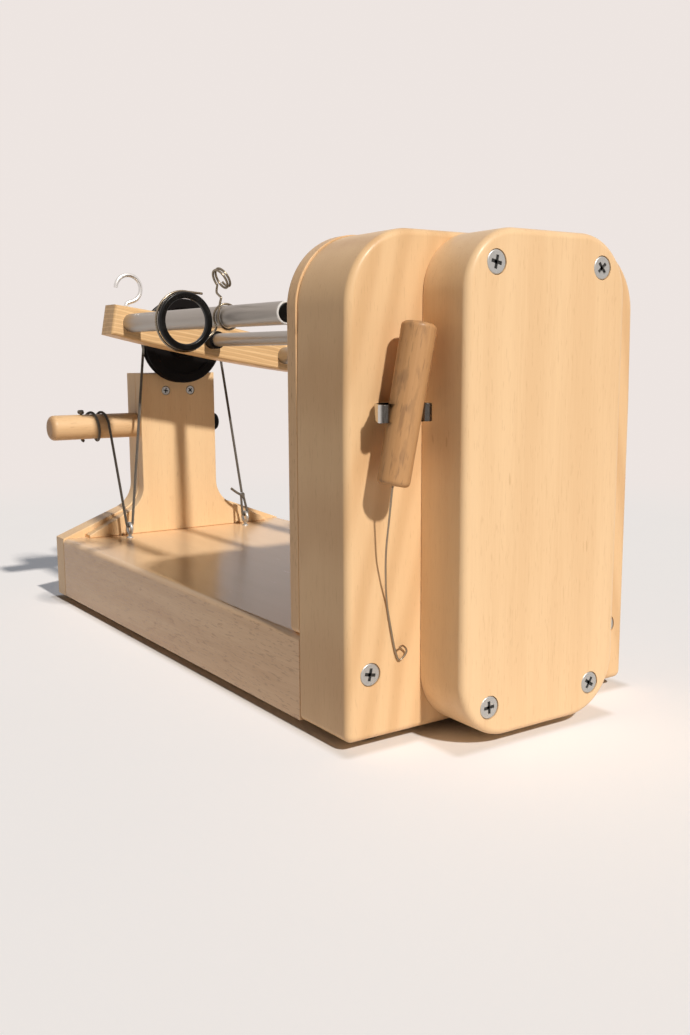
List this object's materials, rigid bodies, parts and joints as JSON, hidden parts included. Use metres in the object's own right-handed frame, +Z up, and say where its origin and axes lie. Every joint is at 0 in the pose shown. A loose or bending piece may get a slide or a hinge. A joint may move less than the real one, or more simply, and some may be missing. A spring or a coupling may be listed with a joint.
{
  "type": "electric spinning wheel",
  "caption": "Table-top electric spinner in pale wood: motor headstock with belt cover, cord-braked flyer with tube arms and sliding guides, mast, peg and clipped threading hook.",
  "frame": {"origin": "on the table under the middle of the machine, in the plane of the spin axis", "axes": "+X to the right seen from the belt cover, +Y along the spin axis from the belt cover to the orifice, +Z up"},
  "size_m": [0.186, 0.374, 0.21],
  "materials": {
    "beech_board": "satin lacquer",
    "beech_block": "satin lacquer",
    "beech_handle": "bare turned wood",
    "plywood": "satin lacquer",
    "zinc": "zinc plated",
    "steel": "ground",
    "spring_wire": "drawn",
    "alloy": "satin anodised",
    "bush_bronze": "sintered",
    "black_plastic": "moulded",
    "motor_black": "black",
    "rubber": "matt",
    "cord": "braided",
    "board_green": "solder mask"
  },
  "bodies": {
    "stand": {"base_board": "beech_board", "headstock_block": "beech_block", "inner_plate": "beech_board", "belt_cover": "beech_block", "cover_screws": "zinc", "headstock_screws": "zinc", "plate_screws": "zinc", "mast_plate": "beech_block", "front_board": "beech_board", "front_screws": "zinc", "mast_screws": "zinc", "bearing_block": "black_plastic", "orifice_bearing": "steel", "eyelet_left": "zinc", "eyelet_right": "zinc", "rubber_feet": "rubber", "motor": "motor_black", "motor_screws": "steel", "drive_belt": "rubber", "rear_bearing": "steel", "plate_bearing": "steel", "tool_clip": "zinc", "clip_screw": "zinc", "control_board": "board_green", "speed_pot": "steel", "switch_frame": "black_plastic", "power_inlet": "black_plastic", "brake_cord": "cord", "brake_knot": "cord"},
    "flyer": {"flyer_bar": "plywood", "arm_tube_left": "alloy", "arm_tube_right": "alloy", "arm_plugs": "black_plastic", "spindle": "alloy", "spindle_collar": "black_plastic", "orifice_tube": "zinc", "brake_drum": "black_plastic", "yarn_hook_left": "zinc", "yarn_hook_right": "zinc"},
    "guide_left": {"guide_wire_left": "spring_wire", "guide_ring_left": "black_plastic"},
    "guide_right": {"guide_wire_right": "spring_wire", "guide_ring_right": "black_plastic"},
    "driver": {"drive_shaft": "steel", "bobbin_driver": "black_plastic", "drive_pins": "steel", "spindle_bush": "bush_bronze", "driven_pulley": "alloy"},
    "rotor": {"motor_shaft": "steel", "motor_pulley": "alloy"},
    "peg": {"tension_peg": "beech_block", "peg_cap": "black_plastic", "peg_cord": "cord", "peg_knot": "cord"},
    "threading_hook": {"hook_handle": "beech_handle", "hook_wire": "spring_wire"},
    "knob": {"speed_knob": "black_plastic"},
    "switch": {"rocker": "black_plastic"}
  },
  "joints": [
    {"name": "flyer_spin", "type": "hinge", "parent": "stand", "child": "flyer", "pos_m": [0, 0, 0.1697], "axis": [0, 1, 0], "continuous": true},
    {"name": "driver_spin", "type": "hinge", "parent": "stand", "child": "driver", "pos_m": [0, 0, 0.1697], "axis": [0, 1, 0], "continuous": true},
    {"name": "motor_spin", "type": "hinge", "parent": "stand", "child": "rotor", "pos_m": [0, 0, 0.064], "axis": [0, 1, 0], "continuous": true},
    {"name": "guide_left_slide", "type": "slide", "parent": "flyer", "child": "guide_left", "axis": [0, 1, 0], "range_m": [-0.053, 0.115]},
    {"name": "guide_right_slide", "type": "slide", "parent": "flyer", "child": "guide_right", "axis": [0, 1, 0], "range_m": [-0.053, 0.115]},
    {"name": "peg_turn", "type": "hinge", "parent": "stand", "child": "peg", "pos_m": [-0.05, 0.171, 0.1143], "axis": [-1, 0, 0], "range_deg": [0, 45]},
    {"name": "hook_pull", "type": "slide", "parent": "stand", "child": "threading_hook", "axis": [0, -1, 0], "range_m": [0, 0.03]},
    {"name": "knob_turn", "type": "hinge", "parent": "stand", "child": "knob", "pos_m": [0.081, -0.142, 0.142], "axis": [1, 0, 0], "range_deg": [-150, 150]},
    {"name": "switch_tip", "type": "hinge", "parent": "stand", "child": "switch", "pos_m": [0.0755, -0.142, 0.104], "axis": [0, 1, 0], "range_deg": [-8, 8]}
  ],
  "couplings": [
    {"joint": "motor_spin", "follows": "driver_spin", "ratio": 3.1111}
  ]
}
